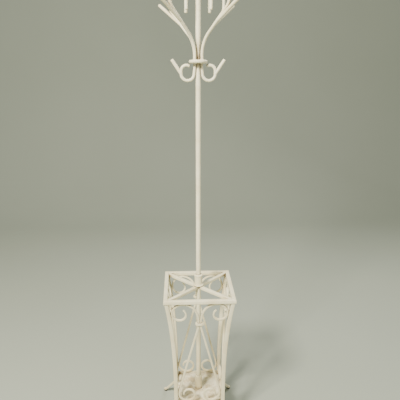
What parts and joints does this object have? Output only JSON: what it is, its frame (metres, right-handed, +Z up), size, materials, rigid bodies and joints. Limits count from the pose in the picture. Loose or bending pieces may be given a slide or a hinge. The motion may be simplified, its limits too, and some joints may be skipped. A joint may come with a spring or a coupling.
{
  "type": "standing coat rack",
  "caption": "Painted wrought-iron coat stand with a scrolled umbrella cage at its foot, coat hooks and curled hat arms at its head.",
  "frame": {"origin": "on the floor, under the axis of the pole", "axes": "+Z up along the pole; -Y is the front, where one panel of the cage faces; +X to the right of a viewer at the front"},
  "size_m": [0.3214, 0.3214, 1.831],
  "materials": {
    "ivory_paint": "brushed-on ivory paint, satin, yellowed in the corners",
    "bare_steel": "plain zinc-plated steel",
    "pad_rubber": "matt"
  },
  "bodies": {
    "root": {"floor_pads": "pad_rubber", "foot_front_left": "ivory_paint", "foot_front_right": "ivory_paint", "foot_back_left": "ivory_paint", "foot_back_right": "ivory_paint", "leg_front_left": "ivory_paint", "leg_front_right": "ivory_paint", "leg_back_left": "ivory_paint", "leg_back_right": "ivory_paint", "frame_front": "ivory_paint", "frame_back": "ivory_paint", "frame_left": "ivory_paint", "frame_right": "ivory_paint", "brace_front_left": "ivory_paint", "brace_front_right": "ivory_paint", "brace_back_left": "ivory_paint", "brace_back_right": "ivory_paint", "tray_rail_front": "ivory_paint", "tray_rail_back": "ivory_paint", "tray_rail_left": "ivory_paint", "tray_rail_right": "ivory_paint", "tray": "ivory_paint", "tray_screws": "bare_steel", "scroll_front_left": "ivory_paint", "scroll_front_right": "ivory_paint", "scroll_back_left": "ivory_paint", "scroll_back_right": "ivory_paint", "scroll_left_front": "ivory_paint", "scroll_left_back": "ivory_paint", "scroll_right_front": "ivory_paint", "scroll_right_back": "ivory_paint", "collar_front": "ivory_paint", "collar_back": "ivory_paint", "collar_left": "ivory_paint", "collar_right": "ivory_paint", "pole": "ivory_paint", "foot_socket": "ivory_paint", "hub": "ivory_paint", "set_screws": "bare_steel", "head_plate": "ivory_paint", "head_stud": "bare_steel", "coat_hook_left": "ivory_paint", "coat_hook_right": "ivory_paint", "coat_prong_left": "ivory_paint", "coat_prong_right": "ivory_paint", "arm_front_left": "ivory_paint", "arm_front_right": "ivory_paint", "arm_back_left": "ivory_paint", "arm_back_right": "ivory_paint", "hat_prong_front_left": "ivory_paint", "hat_prong_front_right": "ivory_paint", "hat_prong_back_left": "ivory_paint", "hat_prong_back_right": "ivory_paint", "spindle": "ivory_paint", "finial": "ivory_paint"}
  },
  "joints": []
}
